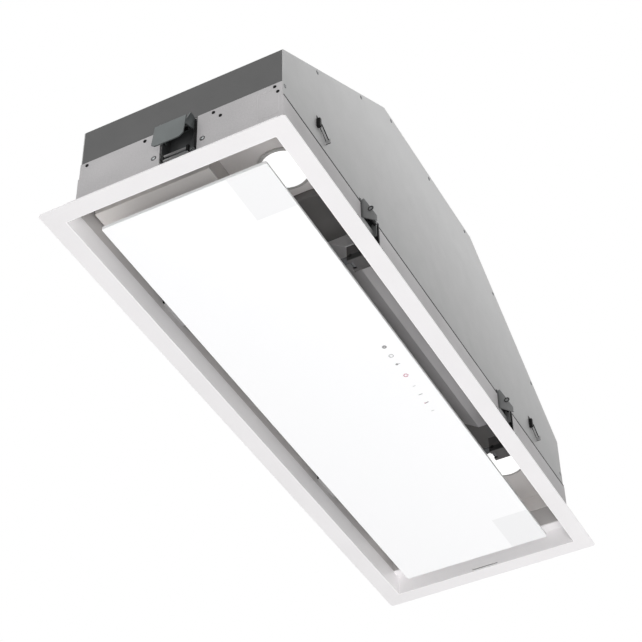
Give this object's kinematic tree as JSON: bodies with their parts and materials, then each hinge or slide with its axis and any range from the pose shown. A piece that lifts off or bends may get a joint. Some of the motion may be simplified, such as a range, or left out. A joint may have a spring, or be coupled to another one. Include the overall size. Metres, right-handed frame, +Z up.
{
  "type": "range hood insert",
  "caption": "Built-in range hood insert with a flat mounting flange, white glass edge-suction panel, sloped housing, sprung cabinet clamps and a round duct spigot.",
  "frame": {"origin": "centre of the flange's bottom face, level with the closed glass panel", "axes": "+X along the long side, +Z up towards the duct, -Y towards the long side with the touch controls"},
  "size_m": [0.75, 0.263, 0.345],
  "materials": {
    "flange_white": "satin white powder coat",
    "foam_black": "closed-cell foam",
    "skirt_grey": "fine textured grey coat",
    "panel_zinc": "galvanised sheet",
    "wrap_dark": "satin dark grey coat",
    "tray_grey": "satin grey coat",
    "box_steel": "satin warm grey coat",
    "cover_grey": "satin grey coat",
    "housing_dark": "fine moulded texture",
    "board_green": "circuit board",
    "terminal_ivory": "moulded",
    "plastic_black": "moulded",
    "bezel_grey": "satin",
    "lens_white": "frosted",
    "fin_aluminium": "cast, plain",
    "scroll_zinc": "galvanised sheet",
    "motor_steel": "satin",
    "rubber_black": "matte",
    "duct_plastic": "moulded",
    "pin_steel": "bright zinc plate",
    "clamp_steel": "plated sheet",
    "wing_steel": "spring steel, grey-green plate",
    "bracket_zinc": "galvanised sheet",
    "magnet_nickel": "nickel plate",
    "rivet_grey": "plain",
    "screw_black": "black oxide",
    "glass_white": "white back-painted, polished",
    "arm_dark": "satin",
    "filter_aluminium": "brushed",
    "filter_mesh": "expanded mesh",
    "impeller_black": "moulded"
  },
  "bodies": {
    "hood": {"flange_frame": "flange_white", "flange_gasket": "foam_black", "lower_skirt": "skirt_grey", "front_side_panel": "panel_zinc", "rear_side_panel": "panel_zinc", "roof_wrap": "wrap_dark", "tray": "tray_grey", "suction_box": "box_steel", "control_cover": "cover_grey", "control_housing": "housing_dark", "housing_lid": "housing_dark", "power_board": "board_green", "terminal_block": "terminal_ivory", "cable_gland": "plastic_black", "hinge_blocks": "plastic_black", "inlet_rings": "plastic_black", "lamp_bezels": "bezel_grey", "lamp_lenses": "lens_white", "lamp_modules": "fin_aluminium", "scroll_wall": "scroll_zinc", "scroll_front_plate": "scroll_zinc", "scroll_rear_plate": "scroll_zinc", "motor_body": "motor_steel", "motor_bracket": "motor_steel", "rubber_mounts": "rubber_black", "outlet_spigot": "duct_plastic", "flap_pin": "pin_steel", "clamp_hinge_pins": "pin_steel", "hinge_pins": "pin_steel", "clamp_rods": "pin_steel", "clamp_springs": "pin_steel", "clamp_brackets": "clamp_steel", "catch_brackets": "bracket_zinc", "catch_magnets": "magnet_nickel", "body_rivets": "rivet_grey", "body_screws": "screw_black"},
    "panel": {"glass_panel": "glass_white", "panel_carrier": "bracket_zinc", "touch_board": "board_green", "hinge_arms": "arm_dark", "strikers": "bracket_zinc"},
    "filter_left": {"filter_frame_left": "filter_aluminium", "filter_core_left": "filter_mesh"},
    "filter_right": {"filter_frame_right": "filter_aluminium", "filter_core_right": "filter_mesh"},
    "latch_left": {"filter_latch_left": "plastic_black"},
    "latch_right": {"filter_latch_right": "plastic_black"},
    "fan": {"impeller": "impeller_black", "motor_shaft": "pin_steel"},
    "damper_left": {"flap_left": "duct_plastic"},
    "damper_right": {"flap_right": "duct_plastic"},
    "wing_1": {"clamp_wing_1": "wing_steel"},
    "wing_2": {"clamp_wing_2": "wing_steel"},
    "wing_3": {"clamp_wing_3": "wing_steel"},
    "wing_4": {"clamp_wing_4": "wing_steel"},
    "wing_5": {"clamp_wing_5": "wing_steel"},
    "wing_6": {"clamp_wing_6": "wing_steel"}
  },
  "joints": [
    {"name": "panel_swing", "type": "hinge", "parent": "hood", "child": "panel", "pos_m": [0, -0.096, 0.011], "axis": [-1, 0, 0], "range_deg": [0, 85]},
    {"name": "filter_left_drop", "type": "hinge", "parent": "hood", "child": "filter_left", "pos_m": [-0.138, 0.083, 0.049], "axis": [1, 0, 0], "range_deg": [0, 12]},
    {"name": "latch_left_slide", "type": "slide", "parent": "filter_left", "child": "latch_left", "axis": [0, 1, 0], "range_m": [0, 0.006], "stiffness_N_per_m": 250, "springref_m": -0.004},
    {"name": "filter_right_drop", "type": "hinge", "parent": "hood", "child": "filter_right", "pos_m": [0.138, 0.083, 0.049], "axis": [1, 0, 0], "range_deg": [0, 12]},
    {"name": "latch_right_slide", "type": "slide", "parent": "filter_right", "child": "latch_right", "axis": [0, 1, 0], "range_m": [0, 0.006], "stiffness_N_per_m": 250, "springref_m": -0.004},
    {"name": "fan_spin", "type": "hinge", "parent": "hood", "child": "fan", "pos_m": [-0.045, 0, 0.172], "axis": [0, 1, 0], "continuous": true},
    {"name": "damper_left_lift", "type": "hinge", "parent": "hood", "child": "damper_left", "pos_m": [0, 0, 0.291], "axis": [0, 1, 0], "range_deg": [0, 75]},
    {"name": "damper_right_lift", "type": "hinge", "parent": "hood", "child": "damper_right", "pos_m": [0, 0, 0.291], "axis": [0, -1, 0], "range_deg": [0, 75]},
    {"name": "wing_1_fold", "type": "hinge", "parent": "hood", "child": "wing_1", "pos_m": [-0.3417, 0, 0.084], "axis": [0, -1, 0], "range_deg": [0, 25], "stiffness_Nm_per_rad": 0.3, "springref_deg": -20.05},
    {"name": "wing_2_fold", "type": "hinge", "parent": "hood", "child": "wing_2", "pos_m": [0.3417, 0, 0.084], "axis": [0, 1, 0], "range_deg": [0, 25], "stiffness_Nm_per_rad": 0.3, "springref_deg": -20.05},
    {"name": "wing_3_fold", "type": "hinge", "parent": "hood", "child": "wing_3", "pos_m": [-0.166, -0.1109, 0.072], "axis": [1, 0, 0], "range_deg": [0, 25], "stiffness_Nm_per_rad": 0.3, "springref_deg": -20.05},
    {"name": "wing_4_fold", "type": "hinge", "parent": "hood", "child": "wing_4", "pos_m": [0.168, -0.1109, 0.072], "axis": [1, 0, 0], "range_deg": [0, 25], "stiffness_Nm_per_rad": 0.3, "springref_deg": -20.05},
    {"name": "wing_5_fold", "type": "hinge", "parent": "hood", "child": "wing_5", "pos_m": [-0.166, 0.1109, 0.072], "axis": [-1, 0, 0], "range_deg": [0, 25], "stiffness_Nm_per_rad": 0.3, "springref_deg": -20.05},
    {"name": "wing_6_fold", "type": "hinge", "parent": "hood", "child": "wing_6", "pos_m": [0.168, 0.1109, 0.072], "axis": [-1, 0, 0], "range_deg": [0, 25], "stiffness_Nm_per_rad": 0.3, "springref_deg": -20.05}
  ]
}
